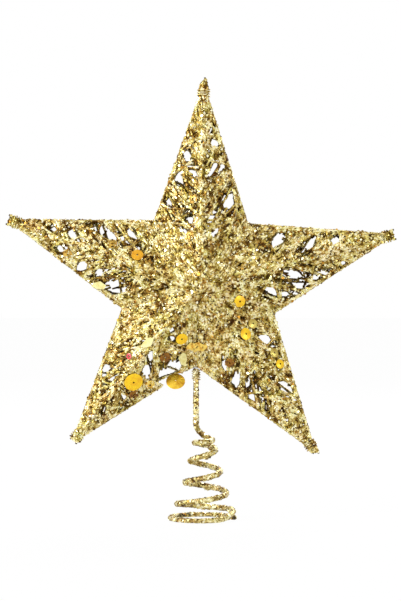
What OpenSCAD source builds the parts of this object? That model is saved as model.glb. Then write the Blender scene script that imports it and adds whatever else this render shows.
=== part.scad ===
// Christmas tree topper: a five-armed wire star with glitter lacing, on a coiled wire spring.
// Lengths are in mm. The origin is the middle of the spring's base ring, on the ground.
// Z is up, X is to the right, and the front of the star faces -Y.

/* [Star] */

// height of the star's centre
star_centre_z = 119.7; // [112:0.1:128]
// how far the star's centre stands to the left of the spring's axis
star_shift = 1.8; // [0:0.1:4]
// turn of the star, clockwise seen from the front, in degrees
star_turn = 2; // [-5:0.5:5]
// centre of the star to the tip of an arm
star_r = 104; // [96:0.5:112]
// centre of the star to a valley between two arms
valley_r = 40; // [37:0.5:43]
// height of the star's middle over the plane of its edge
star_half_depth = 21; // [16:0.5:25]
// tip of an arm back to where its two edge wires draw together
tip_knee = 7; // [6.5:0.1:8]
// length that the two edge wires run side by side under the binding
tip_neck = 4.4; // [4.2:0.1:5]
// half the distance between the two edge wires in that stretch
tip_half_gap = 1.7; // [1.4:0.05:1.9]
// how far an edge wire can splay sideways at the tip
tip_spread = 2.6; // [2:0.1:3]
// how far a long wire end sticks out past the tip
tip_extra = 2.4; // [0:0.1:4]
// length of each side of the bend in an edge wire at a valley
edge_bend = 2.2; // [1.6:0.1:2.4]
// depth of the dent in the bare stretch of the lower left arm's edge
dent_depth = 3.6; // [1:0.1:4.5]

/* [Wires] */

// edge wire, glitter coat included
edge_wire_d = 1.6; // [1.3:0.1:1.7]
// ridge wire from the middle to a tip
ridge_wire_d = 1.4; // [1:0.1:1.6]
// spoke wire from the middle to a valley
spoke_wire_d = 1.4; // [1:0.1:1.6]
// thin binding wire
bind_wire_d = 0.7; // [0.5:0.05:0.75]
// rise of one turn of binding wire
bind_pitch = 1.2; // [1.15:0.05:1.25]
// turns of binding wire at each arm tip
tip_bind_turns = 3; // [2:1:3]
// turns of binding wire at the top of the stem
stem_bind_turns = 4; // [3:1:6]
// clearance between wires, lacing and trim
wire_gap = 0.2; // [0.15:0.01:0.25]
// clearance between two stretches of the same wire
wire_end_gap = 0.05; // [0.02:0.01:0.1]

/* [Lacing] */

// thickness of the glitter lacing
lacing_thick = 1.5; // [1:0.05:1.6]
// width of an ordinary gap in the lacing
lacing_hole_d = 5.8; // [4:0.1:6.4]
// narrowest strand that is kept between two gaps
lacing_strand = 0.5; // [0.3:0.05:0.8]
// radius of the glitter knot in the middle of each side
hub_r = 5.2; // [4:0.1:6]
// height of the knot over the meeting point of the wires
hub_rise = 1; // [0.6:0.1:2]
// depth of the knot behind that point
hub_sink = 1.8; // [1:0.1:2]

/* [Trim] */

// small sequins, yellow and amber
small_sequin_d = 6; // [4:0.1:7]
// the two large amber sequins
large_sequin_d = 9.6; // [8:0.1:11]
// thickness of a sequin or foil flake
sequin_thick = 0.3; // [0.2:0.05:0.4]
// hole in the middle of a sequin
sequin_hole_d = 1; // [0.8:0.1:1.5]
// lean of the sequin that hangs on the bare edge wire, top backward, in degrees
hanging_lean = 38; // [20:1:50]
// length of a foil flake
foil_l = 9; // [6:0.5:10]

/* [Spring] */

// spring and stem wire, glitter coat included
spring_wire_d = 2.8; // [2.2:0.1:3]
// radius of the base ring to the middle of the wire
base_ring_r = 16.2; // [15:0.1:18]
// radius of the last turn, under the stem
top_turn_r = 4.2; // [4:0.1:5]
// rise of one turn in the middle of the spring
coil_pitch = 11.1; // [10.5:0.1:12]
// how far the spring's upper turns stand to the right of the base ring
coil_shift = 0.9; // [0:0.1:1.5]
// lift of the wire where it climbs over its own end
end_climb = 1.7; // [1:0.1:2.5]
// depth of the flat under the base ring
ring_flat = 0.5; // [0.2:0.05:0.8]
// height where the straight stem starts
stem_foot_z = 49; // [47:0.1:52]
// length of the pull of the curve between the last turn and the stem
stem_lead = 4; // [3:0.1:5]

/* [Hidden] */

arms = ["top", "right", "lower_right", "lower_left", "left"];
valleys = ["upper_right", "mid_right", "bottom", "mid_left", "upper_left"];
arm_numbers = [0:len(arms) - 1];
arm_step = 360/len(arms);
half_step = arm_step/2;
BOTTOM = 2;

coil_sides = 8;
wire_sides = 8;
bind_sides = 6;
coil_ring_step = 15;
coil_apart = 12;
lead_steps = 8;
bind_rings = 16;
hole_corners = 6;
knot_sides = 12;
sequin_hole_sides = 12;
bend_steps = 5;

// turns of the spring's wire in degrees, from its cut end on the right, counter-clockwise from above
climb_start = 280;
ring_end = 350;
climb_at = 365;
climb_width = 50;
lower_end = 900;
middle_end = 1260;
slow_start = 1440;
coil_end = 1830;
ring_ease = 40;
slow_ease = 180;
slow_share = 0.75;
taper_power = 1.55;

wire_rgb = [0.80, 0.66, 0.30];
lacing_rgb = [0.86, 0.76, 0.42];
yellow_rgb = [0.95, 0.80, 0.10];
amber_rgb = [0.80, 0.48, 0.08];
foil_rgb = [0.93, 0.85, 0.52];

// turn of each arm against its even place, clockwise seen from the front, in degrees
arm_leans = [-0.6, 1.1, -1.1, 1.1, -0.7];
// each arm's two wire ends, left then right: sideways and outward, as shares of tip_spread and tip_extra
tip_shares = [[[-0.5, 0.2], [0.15, 1.3]], [[-1, 0], [1, 0]], [[-0.4, 0.6], [0.4, 0]],
    [[-0.75, -0.6], [0.75, -0.7]], [[-1, 0], [1, 0]]];
// the dent in the bottom edge wire's left leg: its lowest point and its end, as shares of the leg
dent_shares = [0.295, 0.38];
dent_ease_share = 0.012;

// gaps in each arm's left and right facet: share of the way out, share of the way across, size share
lacing_gap_shares = [
    [[[0.59, 0.73, 0.8], [0.40, 0.80, 0.9], [0.21, 0.87, 0.6], [0.55, 0.32, 0.5],
      [0.28, 0.28, 0.7], [0.17, 0.39, 0.7]],
     [[0.78, 0.57, 0.5], [0.69, 0.68, 0.6], [0.27, 0.77, 1.3], [0.55, 0.59, 0.7],
      [0.50, 0.79, 0.6], [0.54, 0.37, 0.5], [0.28, 0.29, 0.7], [0.19, 0.35, 0.6]]],
    [[[0.30, 0.75, 1.0], [0.54, 0.54, 0.9], [0.70, 0.60, 0.6]],
     [[0.67, 0.85, 0.5], [0.41, 0.46, 0.9], [0.54, 0.78, 0.7], [0.46, 0.83, 0.5],
      [0.34, 0.79, 0.8], [0.19, 0.60, 0.8], [0.21, 0.82, 0.5], [0.25, 0.92, 0.4]]],
    [[[0.59, 0.65, 0.6], [0.63, 0.77, 0.5], [0.69, 0.85, 0.4], [0.25, 0.71, 0.9]],
     [[0.36, 0.78, 0.8], [0.47, 0.56, 0.7], [0.51, 0.77, 0.6], [0.60, 0.59, 0.6],
      [0.64, 0.75, 0.5], [0.82, 0.40, 0.4], [0.26, 0.65, 0.8]]],
    [[[0.41, 0.16, 0.5], [0.22, 0.17, 0.4], [0.22, 0.32, 0.5], [0.44, 0.42, 0.9],
      [0.30, 0.82, 0.8], [0.21, 0.79, 0.7], [0.64, 0.54, 0.6], [0.80, 0.35, 0.4]],
     [[0.50, 0.84, 0.7], [0.60, 0.48, 0.7]]],
    [[[0.69, 0.63, 0.6], [0.48, 0.77, 0.9], [0.38, 0.66, 0.7], [0.17, 0.85, 0.6], [0.25, 0.71, 0.9]],
     [[0.79, 0.48, 0.5], [0.68, 0.45, 0.7], [0.46, 0.75, 0.8], [0.40, 0.59, 0.7],
      [0.23, 0.77, 0.9], [0.33, 0.62, 0.5]]]];
// length and width of a gap, as shares of its size
gap_form_shares = [1.25, 0.85];
// turn of each next gap against the last, in degrees
gap_turn = 47;

// the bare stretch on the lower left arm: shares of the way out and of the way across
bare_arm = 3;
bare_shares = [[0.35, 0.67], [0.32, 0.96], [0.38, 1.09], [0.28, 1.19], [0.08, 1.16],
    [0.05, 1.07], [0.08, 1.02], [0.22, 0.85]];

// sequins on facets: arm, side, share of the way out, share of the way across, size share
yellow_shares = [[3, -1, 0.14, 0.45, 1], [2, -1, 0.27, 0.29, 1], [2, -1, 0.16, 0.56, 0.83],
    [4, 1, 0.30, 0.24, 1], [2, -1, 0.43, 0.76, 0.77], [2, -1, 0.35, 0.73, 0.77]];
amber_shares = [[0, 1, 0.44, 0.62, 0.8], [0, -1, 0.41, 0.23, 0.8], [0, -1, 0.20, 0.24, 0.75],
    [4, 1, 0.43, 0.37, 0.85], [4, -1, 0.63, 0.60, 0.8], [2, 1, 0.30, 0.51, 0.85],
    [3, -1, 0.28, 0.50, 0.9], [3, -1, 0.41, 0.78, 0.8], [3, -1, 0.55, 0.72, 0.8]];
large_shares = [[3, -1, 0.55, 0.36, 1]];
// the orange sequin and the creased amber one on their spokes: share of the spoke, and the
// creased one's width across the spoke and its height, as shares of a small sequin
orange_spoke_share = 0.53;
crease_spoke_share = 0.74;
crease_form_shares = [1.8, 0.8];
// the sequin that hangs on the bottom edge wire's left leg: share of the leg, and how far its middle
// lies under the wire, as a share of its size
hanging_share = 0.18;
hanging_drop_share = 0.22;
// foil flakes: arm, side, share out, share across, size share and turn in degrees; then their outline
// as shares of foil_l
foil_shares = [[3, 1, 0.37, 0.12, 0.9, 60], [3, -1, 0.12, 0.78, 0.9, 35], [4, -1, 0.27, 0.92, 0.9, 60]];
foil_outline_shares = [[-0.5, -0.06], [-0.3, -0.26], [0.12, -0.2], [0.5, 0.04], [0.32, 0.24], [-0.2, 0.3]];

// the knot's outline as shares of hub_r, with its height as shares of hub_rise and hub_sink
hub_rim_shares = [0.72, 0.8];
hub_crown_share = 0.62;

function unit(v) = v/norm(v);
function squared(v, t) = unit(v - (v*t)*t);
function eased(x, w) = x <= 0 ? 0 : x < w ? x*x/(2*w) : x - w/2;

// A facet in its arm's own frame: z out along the arm, x sideways from its ridge, y into the star.
// Each facet is worked out from d, the turn between its arm and its valley.
knee_z = star_r - tip_knee;
apex = [0, -star_half_depth, 0];
lacing_off = (edge_wire_d + lacing_thick)/2 + wire_gap;
function half_turn(k, side) = half_step - side*arm_leans[k];
function slopes(d, drop) = let (x = valley_r*sin(d), z = valley_r*cos(d))
    drop/(x*knee_z - z*tip_half_gap)*[knee_z - z, x - tip_half_gap];
lean = norm(concat([1], slopes(half_step, star_half_depth - lacing_off)));
seat_y = lacing_off*lean;
function face_slopes(d) = slopes(d, star_half_depth - seat_y);
function ridge_point(d) = [0, face_slopes(d)[1]*knee_z - star_half_depth, knee_z];
function valley_point(d) = [valley_r*sin(d), -seat_y, valley_r*cos(d)];
knee_point = [tip_half_gap, -seat_y, knee_z];
function along(d) = unit(ridge_point(d) - apex);
function across(d) = squared(unit([1, face_slopes(d)[0], 0]), along(d));
function outward(d) = cross(across(d), along(d));
function face_frame(d) = let (a = across(d), u = along(d), o = outward(d))
    [[a.x, u.x, o.x, apex.x], [a.y, u.y, o.y, apex.y], [a.z, u.z, o.z, apex.z], [0, 0, 0, 1]];
function flat(d, p) = [(p - apex)*across(d), (p - apex)*along(d)];
function flat_ridge(d) = flat(d, ridge_point(d));
function flat_valley(d) = flat(d, valley_point(d));
function flat_knee(d) = flat(d, knee_point);
function facet_point(d, s, t) = (1 - t)*s*flat_ridge(d) + t*((1 - s)*flat_valley(d) + s*flat_knee(d));

spoke_tilt = atan((star_half_depth - seat_y)/valley_r);
spoke_l = norm([star_half_depth - seat_y, valley_r]);
wire_start = hub_r + wire_gap;
lacing_inset = max(ridge_wire_d, spoke_wire_d)/2 + wire_gap;
lacing_reach = lacing_inset + edge_wire_d/2;
lacing_start = (hub_r + wire_gap + lacing_thick/2)*lean;
sequin_lift = max(lacing_thick, ridge_wire_d, spoke_wire_d)/2 + wire_gap/2;

ring_z = spring_wire_d/2 - ring_flat;
bottom_angle = star_turn + half_step + arm_step*BOTTOM;
leg_angle = half_step + atan((valley_r*sin(half_step) - tip_half_gap)/(knee_z - valley_r*cos(half_step)));
stem_reach = valley_r + edge_wire_d/2/sin(leg_angle) + spring_wire_d/2/tan(leg_angle) + 1.5*wire_gap;
stem_x = stem_reach*sin(bottom_angle) - star_shift;
stem_top_z = star_centre_z + stem_reach*cos(bottom_angle);
stem_bind_r = (spring_wire_d + bind_wire_d)/2 + wire_gap;
stem_bind_reach = valley_r + edge_wire_d/2/sin(leg_angle) + (stem_bind_r + bind_wire_d/2)/tan(leg_angle)
    + 1.5*wire_gap + bind_wire_d/2;

// one arm, one valley, the front or back side, and one facet of an arm, side -1 left and 1 right
module in_star(angle)
    translate([-star_shift, 0, star_centre_z])
        rotate([0, angle, 0])
            children();

module in_arm(k)
    in_star(star_turn + arm_step*k + arm_leans[k])
        children();

module in_valley(k)
    in_star(star_turn + half_step + arm_step*k)
        children();

module on_side(back)
    mirror([0, back ? 1 : 0, 0])
        children();

module on_facet(k, side)
    mirror([side < 0 ? 1 : 0, 0, 0])
        multmatrix(face_frame(half_turn(k, side)))
            children();

module on_spoke(k, share, lift)
    in_valley(k)
        translate(apex)
            rotate([90 - spoke_tilt, 0, 0])
                translate([0, share*spoke_l, lift])
                    children();

// a round wire along a row of points, with its frames carried along without twist
function headings(p, first, last) = [for (i = [0:len(p) - 1])
    i == 0 ? (is_undef(first) ? unit(p[1] - p[0]) : first)
    : i == len(p) - 1 ? (is_undef(last) ? unit(p[i] - p[i - 1]) : last)
    : unit(unit(p[i + 1] - p[i]) + unit(p[i] - p[i - 1]))];
function normals(t, v) = [for (i = 0, n = squared(v, t[0]); i < len(t);
    i = i + 1, n = i < len(t) ? squared(n, t[i]) : n) n];
function grounded(p) = [p.x, p.y, max(p.z, 0)];

module tube(p, d, sides, first = undef, last = undef, side_on = [0, 1, 0]) {
    t = headings(p, first, last);
    n = normals(t, side_on);
    rings = [for (i = [0:len(p) - 1]) for (k = [0:sides - 1])
        grounded(p[i] + d/2*(cos(360/sides*k)*n[i] + sin(360/sides*k)*cross(t[i], n[i])))];
    walls = [for (i = [0:len(p) - 2]) for (k = [0:sides - 1])
        let (j = i*sides, m = (k + 1)%sides) [j + k, j + sides + k, j + sides + m, j + m]];
    top = [for (k = [0:sides - 1]) len(p)*sides - 1 - k];
    polyhedron(rings, concat([[for (k = [0:sides - 1]) k]], walls, [top]));
}

function least_gap(p, d, skip) =
    min([for (i = [0:len(p) - 1 - skip]) for (j = [i + skip:len(p) - 1]) norm(p[i] - p[j])]) - d;

// the spring's wire: its point and heading at a turn, and a stretch of it between two turns
function coil_rise(a) = coil_pitch/360*(eased(a - climb_start, ring_ease)
    - slow_share*eased(a - slow_start, slow_ease)) + end_climb*exp(-pow((a - climb_at)/climb_width, 2));
function coil_share(a) = eased(a - climb_start, ring_ease)/(coil_end - climb_start);
function coil_r(a) = top_turn_r + (base_ring_r - top_turn_r)*pow(1 - coil_share(a), taper_power);
function coil_point(a) = [coil_r(a)*cos(a) + coil_shift*min(1, 3*coil_share(a)), coil_r(a)*sin(a), ring_z + coil_rise(a)];
function coil_heading(a) = unit(coil_point(a + 1) - coil_point(a - 1));
function end_turn(a) = wire_end_gap/2/coil_r(a)*180/PI;
function coil_stretch(a, b) = let (n = ceil((b - a)/coil_ring_step))
    [for (i = [0:n]) coil_point(a + (b - a)*i/n)];

ring_points = coil_stretch(0, ring_end - end_turn(ring_end));
lower_points = coil_stretch(ring_end + end_turn(ring_end), lower_end - end_turn(lower_end));
middle_points = coil_stretch(lower_end + end_turn(lower_end), middle_end - end_turn(middle_end));
stem_foot = [stem_x, 0, stem_foot_z];
lead_start = coil_point(coil_end);
lead_out = lead_start + stem_lead*coil_heading(coil_end);
lead_in = stem_foot - [0, 0, stem_lead];
function lead_point(t) = pow(1 - t, 3)*lead_start + 3*t*pow(1 - t, 2)*lead_out
    + 3*t*t*(1 - t)*lead_in + pow(t, 3)*stem_foot;
upper_points = concat(coil_stretch(middle_end + end_turn(middle_end), coil_end),
    [for (i = [1:lead_steps]) lead_point(i/lead_steps)]);

echo(lower_coil_least_gap = least_gap(lower_points, spring_wire_d, coil_apart));
echo(middle_coil_least_gap = least_gap(middle_points, spring_wire_d, coil_apart));
echo(upper_coil_least_gap = least_gap(upper_points, spring_wire_d, coil_apart));

module base_ring()
    color(wire_rgb)
        tube(ring_points, spring_wire_d, coil_sides, coil_heading(0), coil_heading(ring_end), [0, 0, 1]);

module lower_coil()
    color(wire_rgb)
        tube(lower_points, spring_wire_d, coil_sides, coil_heading(ring_end), coil_heading(lower_end), [0, 0, 1]);

module middle_coil()
    color(wire_rgb)
        tube(middle_points, spring_wire_d, coil_sides, coil_heading(lower_end), coil_heading(middle_end));

module upper_coil()
    color(wire_rgb)
        tube(upper_points, spring_wire_d, coil_sides, coil_heading(middle_end), [0, 0, 1]);

module stem_wire()
    color(wire_rgb)
        translate(stem_foot + [0, 0, wire_end_gap])
            cylinder(d = spring_wire_d, h = stem_top_z - stem_foot_z - wire_end_gap);

// binding wire wound upward round two wires, each so far from the middle, at a radius
function winding_points(turns, apart, r) = [for (i = [0:turns*bind_rings]) let (a = 360/bind_rings*i)
    [apart*max(-1, min(1, 3*cos(a))) + r*cos(a), r*sin(a), bind_pitch*i/bind_rings]];

module winding(points)
    tube(points, bind_wire_d, bind_sides);

stem_bind_points = winding_points(stem_bind_turns, 0, stem_bind_r);
tip_bind_off = (edge_wire_d + bind_wire_d)/2 + wire_gap;
tip_bind_points = winding_points(tip_bind_turns, tip_half_gap, tip_bind_off);
echo(stem_binding_least_gap = least_gap(stem_bind_points, bind_wire_d, bind_rings/2));
echo(tip_binding_least_gap = least_gap(tip_bind_points, bind_wire_d, bind_rings/2));

module stem_binding()
    color(wire_rgb)
        translate([stem_x, 0, star_centre_z + stem_bind_reach*cos(bottom_angle) - stem_bind_turns*bind_pitch])
            winding(stem_bind_points);

module tip_binding(k)
    color(wire_rgb)
        in_arm(k)
            translate([0, 0, knee_z + (tip_neck - tip_bind_turns*bind_pitch)/2])
                winding(tip_bind_points);

// an edge wire from one arm's tip round its valley to the next arm's tip, in the valley's frame
function from_arm(p, turn) = [p.x*cos(turn) + p.z*sin(turn), p.y, p.z*cos(turn) - p.x*sin(turn)];
function tip_leg(side, shares) = [[shares[0]*tip_spread, 0, star_r + shares[1]*tip_extra],
    [side*tip_half_gap, 0, knee_z + tip_neck], [side*tip_half_gap, 0, knee_z]];
function turned(points, turn) = [for (p = points) from_arm(p, turn)];
function reversed(points) = [for (i = [1:len(points)]) points[len(points) - i]];
function bend(corner, p, q) = let (a = corner + edge_bend*unit(p - corner), b = corner + edge_bend*unit(q - corner))
    [for (i = [0:bend_steps]) let (t = i/bend_steps) (1 - t)*(1 - t)*a + 2*t*(1 - t)*corner + t*t*b];
corner = [0, 0, valley_r];
function dent(corner, knee) = let (leg = knee - corner, inward = unit([leg.z, 0, -leg.x]))
    [corner + (dent_shares[0] - dent_ease_share)*leg + dent_depth*inward,
     corner + (dent_shares[0] + dent_ease_share)*leg + dent_depth*inward,
     corner + dent_shares[1]*leg];

function next_arm(k) = (k + 1)%len(arms);
function near_leg(k) = turned(tip_leg(1, tip_shares[k][1]), -half_turn(k, 1));
function far_leg(k) = turned(tip_leg(-1, tip_shares[next_arm(k)][0]), half_turn(next_arm(k), -1));

module edge_wire(k) {
    near = near_leg(k);
    far = far_leg(k);
    color(wire_rgb)
        in_valley(k)
            tube(concat(near, bend(corner, near[2], far[2]), k == BOTTOM ? dent(corner, far[2]) : [],
                reversed(far)), edge_wire_d, wire_sides);
}

module ridge_wire(k, back)
    color(wire_rgb)
        in_arm(k)
            on_side(back)
                translate(apex)
                    rotate([-atan(face_slopes(half_step)[1]), 0, 0])
                        translate([0, 0, wire_start])
                            cylinder(d = ridge_wire_d,
                                h = norm(flat_ridge(half_step)) - ridge_wire_d/2 - wire_start);

module spoke_wire(k, back)
    color(wire_rgb)
        in_valley(k)
            on_side(back)
                translate(apex)
                    rotate([-spoke_tilt, 0, 0])
                        translate([0, 0, wire_start])
                            cylinder(d = spoke_wire_d, h = spoke_l - wire_start);

module hub(back)
    color(lacing_rgb)
        in_star(star_turn)
            on_side(back)
                translate(apex)
                    rotate([90, 0, 0])
                        rotate_extrude($fn = knot_sides)
                            polygon([[0, -hub_sink], [hub_r*hub_rim_shares[1], -hub_sink], [hub_r, 0],
                                [hub_r*hub_rim_shares[0], hub_rise*hub_crown_share], [0, hub_rise]]);

// the lacing of one facet, flat in its plane: the whole facet first, then with its gaps
function edge_out(d) = let (e = unit(flat_knee(d) - flat_valley(d))) [e.y, -e.x];
function moved_out(d, p, way) = p + way*(lacing_reach/(way*edge_out(d)));

module whole_facet(d)
    offset(delta = -lacing_inset)
        polygon([[0, 0], flat_ridge(d), moved_out(d, flat_knee(d), unit(flat_knee(d) - flat_ridge(d))),
            moved_out(d, flat_valley(d), unit(flat_valley(d)))]);

module gap_outline(place, size, turn)
    translate(place)
        rotate(turn)
            polygon([for (i = [1:hole_corners])
                size/2*[gap_form_shares[0]*cos(360/hole_corners*i), gap_form_shares[1]*sin(360/hole_corners*i)]]);

module facet_lacing(k, side) {
    d = half_turn(k, side);
    gaps = lacing_gap_shares[k][(side + 1)/2];
    linear_extrude(lacing_thick, center = true)
        offset(delta = lacing_strand/2)
            offset(delta = -lacing_strand/2)
                difference() {
                    whole_facet(d);
                    circle(r = lacing_start);
                    for (i = [0:len(gaps) - 1])
                        gap_outline(facet_point(d, gaps[i][0], gaps[i][1]), gaps[i][2]*lacing_hole_d, gap_turn*i);
                    if (k == bare_arm && side < 0)
                        polygon([for (p = bare_shares) facet_point(d, p[0], p[1])]);
                }
}

module lacing(k, back)
    color(lacing_rgb)
        in_arm(k)
            on_side(back)
                for (side = [-1, 1])
                    on_facet(k, side)
                        facet_lacing(k, side);

// trim: round sequins with a hole, and foil flakes, lying just over the lacing
module sequin(d)
    linear_extrude(sequin_thick)
        difference() {
            circle(d = d);
            circle(d = sequin_hole_d, $fn = sequin_hole_sides);
        }

module over_facet(place)
    in_arm(place[0])
        on_facet(place[0], place[1])
            translate(concat(facet_point(half_turn(place[0], place[1]), place[2], place[3]), [sequin_lift]))
                children();

spoke_normal = [sin(spoke_tilt)*sin(half_step), -cos(spoke_tilt), sin(spoke_tilt)*cos(half_step)];
side_rise = tan(acos(spoke_normal*outward(half_step)));
function spoke_lift(half_width) = sequin_lift + half_width*side_rise;

module yellow_sequins()
    color(yellow_rgb) {
        for (place = yellow_shares)
            over_facet(place)
                sequin(small_sequin_d*place[4]);
        on_spoke(1, orange_spoke_share, spoke_lift(small_sequin_d/2))
            sequin(small_sequin_d);
    }

module amber_sequins()
    color(amber_rgb) {
        for (place = amber_shares)
            over_facet(place)
                sequin(small_sequin_d*place[4]);
        on_spoke(BOTTOM, crease_spoke_share, spoke_lift(small_sequin_d/2*crease_form_shares[0]))
            linear_extrude(sequin_thick)
                polygon([for (i = [1:2*hole_corners]) small_sequin_d/2*[
                    crease_form_shares[0]*cos(180/hole_corners*i), crease_form_shares[1]*sin(180/hole_corners*i)]]);
    }

hanging_point = from_arm((1 - hanging_share)*corner + hanging_share*far_leg(BOTTOM)[2], bottom_angle);

module large_sequins()
    color(amber_rgb) {
        for (place = large_shares)
            over_facet(place)
                sequin(large_sequin_d*place[4]);
        translate(hanging_point + [-star_shift,
            -edge_wire_d/2 - wire_gap - sequin_thick - large_sequin_d/2*sin(hanging_lean),
            star_centre_z - hanging_drop_share*large_sequin_d])
            rotate([90 - hanging_lean, 0, 0])
                sequin(large_sequin_d);
    }

module foil_flakes()
    color(foil_rgb)
        for (place = foil_shares)
            over_facet(place)
                rotate(place[5])
                    linear_extrude(sequin_thick)
                        polygon(foil_l*place[4]*foil_outline_shares);

base_ring();
lower_coil();
middle_coil();
upper_coil();
stem_wire();
stem_binding();
hub(false);  // front_hub
hub(true);  // back_hub
yellow_sequins();
amber_sequins();
large_sequins();
foil_flakes();
for (k = arm_numbers) {
    tip_binding(k);
    ridge_wire(k, false);
    ridge_wire(k, true);
    lacing(k, false);
    lacing(k, true);
    edge_wire(k);
    spoke_wire(k, false);
    spoke_wire(k, true);
}
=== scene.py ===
import math
import random

import bpy
from mathutils import Matrix, Vector


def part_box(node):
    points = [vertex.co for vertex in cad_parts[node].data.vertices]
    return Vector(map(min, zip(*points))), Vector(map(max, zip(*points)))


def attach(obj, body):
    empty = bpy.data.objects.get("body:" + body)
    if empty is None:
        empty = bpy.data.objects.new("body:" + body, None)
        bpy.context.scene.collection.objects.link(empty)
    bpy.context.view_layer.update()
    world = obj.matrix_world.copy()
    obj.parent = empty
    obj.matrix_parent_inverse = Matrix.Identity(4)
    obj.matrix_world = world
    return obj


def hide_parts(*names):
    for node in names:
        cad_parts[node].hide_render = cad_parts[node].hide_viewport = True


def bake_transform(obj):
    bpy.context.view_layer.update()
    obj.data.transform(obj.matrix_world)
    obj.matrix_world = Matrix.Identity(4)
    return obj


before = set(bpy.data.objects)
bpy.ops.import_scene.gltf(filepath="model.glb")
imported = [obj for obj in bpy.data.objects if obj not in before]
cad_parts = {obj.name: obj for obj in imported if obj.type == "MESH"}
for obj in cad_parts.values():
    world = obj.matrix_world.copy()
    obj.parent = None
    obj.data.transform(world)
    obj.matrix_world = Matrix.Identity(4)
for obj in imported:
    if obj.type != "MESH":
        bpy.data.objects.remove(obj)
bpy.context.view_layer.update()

# The picture: the camera stands as high as the star's middle and looks at it square on, from
# 1.15 m away, as the photograph was taken.
LOOK_AT = Vector((-0.001, 0.0, 0.1125))
bpy.ops.object.select_all(action="DESELECT")
bpy.ops.object.camera_add(location=(-0.001, -1.150, 0.122))
camera = bpy.context.object
camera.name = "photo_camera"
camera.rotation_euler = (LOOK_AT - camera.location).to_track_quat("-Z", "Y").to_euler()
camera.data.sensor_fit = "AUTO"
camera.data.sensor_width = 36
camera.data.lens = 134.4
camera.data.clip_start = 0.01
bpy.context.scene.camera = camera
bpy.context.scene.view_settings.view_transform = "Standard"

# The table top: a white sheet of card that runs far back, so that the picture stays white behind
# the star. It keeps the spring's soft shadow.
bpy.ops.mesh.primitive_plane_add(size=8, location=(0, 2.5, -0.0002))
card = bpy.context.object
card.name = "table_card"

def new_node(tree, kind, values):
    """Adds a node to a tree and sets these of its inputs."""
    node = tree.nodes.new(kind)
    for name, value in values.items():
        node.inputs[name].default_value = value
    return node

def worked_out(tree, operation, *values):
    """What a sum gives, each of whose values is a number or the output of a node."""
    step = tree.nodes.new("ShaderNodeMath")
    step.operation = operation
    for socket, value in zip(step.inputs, values):
        if isinstance(value, (int, float)):
            socket.default_value = value
        else:
            tree.links.new(value, socket)
    return step.outputs[0]

def new_finish(name, values):
    """A material with these values set on its surface, its tree of nodes, and that surface."""
    finish = bpy.data.materials.new(name)
    finish.use_nodes = True
    surface = finish.node_tree.nodes["Principled BSDF"]
    for socket, value in values.items():
        surface.inputs[socket].default_value = value
    return finish, finish.node_tree, surface

def direct_sight(tree):
    """One for a ray from the camera, by way of a gloss, or through a film, and zero for others."""
    seen = tree.nodes.new("ShaderNodeLightPath").outputs
    either = worked_out(tree, "MAXIMUM", seen["Is Camera Ray"], seen["Is Glossy Ray"])
    return worked_out(tree, "MAXIMUM", either, seen["Is Transmission Ray"])

card_paper, tree, paper = new_finish("white_card", {"Base Color": (0.93, 0.93, 0.93, 1), "Roughness": 0.8})
bright = new_node(tree, "ShaderNodeEmission", {"Strength": 1.0})
blend = tree.nodes.new("ShaderNodeMixShader")
tree.links.new(worked_out(tree, "MULTIPLY", direct_sight(tree), 0.97), blend.inputs[0])
tree.links.new(paper.outputs[0], blend.inputs[1])
tree.links.new(bright.outputs[0], blend.inputs[2])
tree.links.new(blend.outputs[0], tree.nodes["Material Output"].inputs["Surface"])
card.data.materials.append(card_paper)

# The studio: a large soft lamp in front on the left, weaker ones on the right and behind, and a
# white room all round that the eye and the glitter see, but that lights softly.
LAMP_SIZE = 0.7

def soft_lamp(name, place, aim_height, watts):
    """A square lamp that points at the object, at a height over its foot."""
    bpy.ops.object.light_add(type="AREA", location=place)
    lamp = bpy.context.object
    lamp.name = name
    lamp.data.size = LAMP_SIZE
    lamp.data.energy = watts
    aim = Vector((0, 0, aim_height)) - Vector(place)
    lamp.rotation_euler = aim.to_track_quat("-Z", "Y").to_euler()

soft_lamp("lamp_left", (-1.15, -0.75, 0.60), 0.11, 17)
soft_lamp("lamp_right", (1.1, -0.9, 0.0), 0.10, 8)
soft_lamp("lamp_behind", (0.3, 1.0, 0.9), 0.11, 8)

def ranged(tree, value, low, high, start=0.0, end=1.0):
    """A value that runs from start to end, brought to between low and high."""
    span = new_node(tree, "ShaderNodeMapRange",
                    {"From Min": start, "From Max": end, "To Min": low, "To Max": high})
    tree.links.new(value, span.inputs["Value"])
    return span.outputs[0]

room = bpy.context.scene.world or bpy.data.worlds.new("room")
bpy.context.scene.world = room
room.use_nodes = True
walls = room.node_tree.nodes["Background"]
walls.inputs["Color"].default_value = (1, 1, 1, 1)
level = ranged(room.node_tree, direct_sight(room.node_tree), 0.55, 1.0)
room.node_tree.links.new(level, walls.inputs["Strength"])

# The spring: one steel wire, wound wide at the foot and narrow at the top, dipped in glue and
# rolled in coarse gold glitter. Its first turn lies flat, and above its last it is the stem.
# Here lengths are in mm, and angles in degrees along the wire from its cut end.
PITCH, TOP_R, FLARE, FLARE_POWER = 11.1, 4.2, 12, 1.55
LIFT_OFF, LIFT_EASE, NARROWING = 280, 40, 1550
CLOSER_FROM, CLOSER_EASE, CLOSER = 1440, 180, 0.75
KINK_AT, KINK_WIDE, KINK = 365, 50, 1.7
AXIS_X, FOOT_HEIGHT = 0.9, 0.9
RING_END, MIDDLE_FROM, UPPER_FROM, COIL_END = 350, 900, 1260, 1830
# In metres: where the stem stands and starts, and its length; the radius of the coated wire, of the
# steel at the spring's cut end, and of the dark bare steel laid over the back of the ring as painted shade.
STEM_X, STEM_FOOT, STEM_LENGTH = -0.00328, 0.049, 0.0285
WIRE_R, CUT_END_R, PAINTED_SHADE_R = 0.0014, 0.0011, 0.00147

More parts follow.
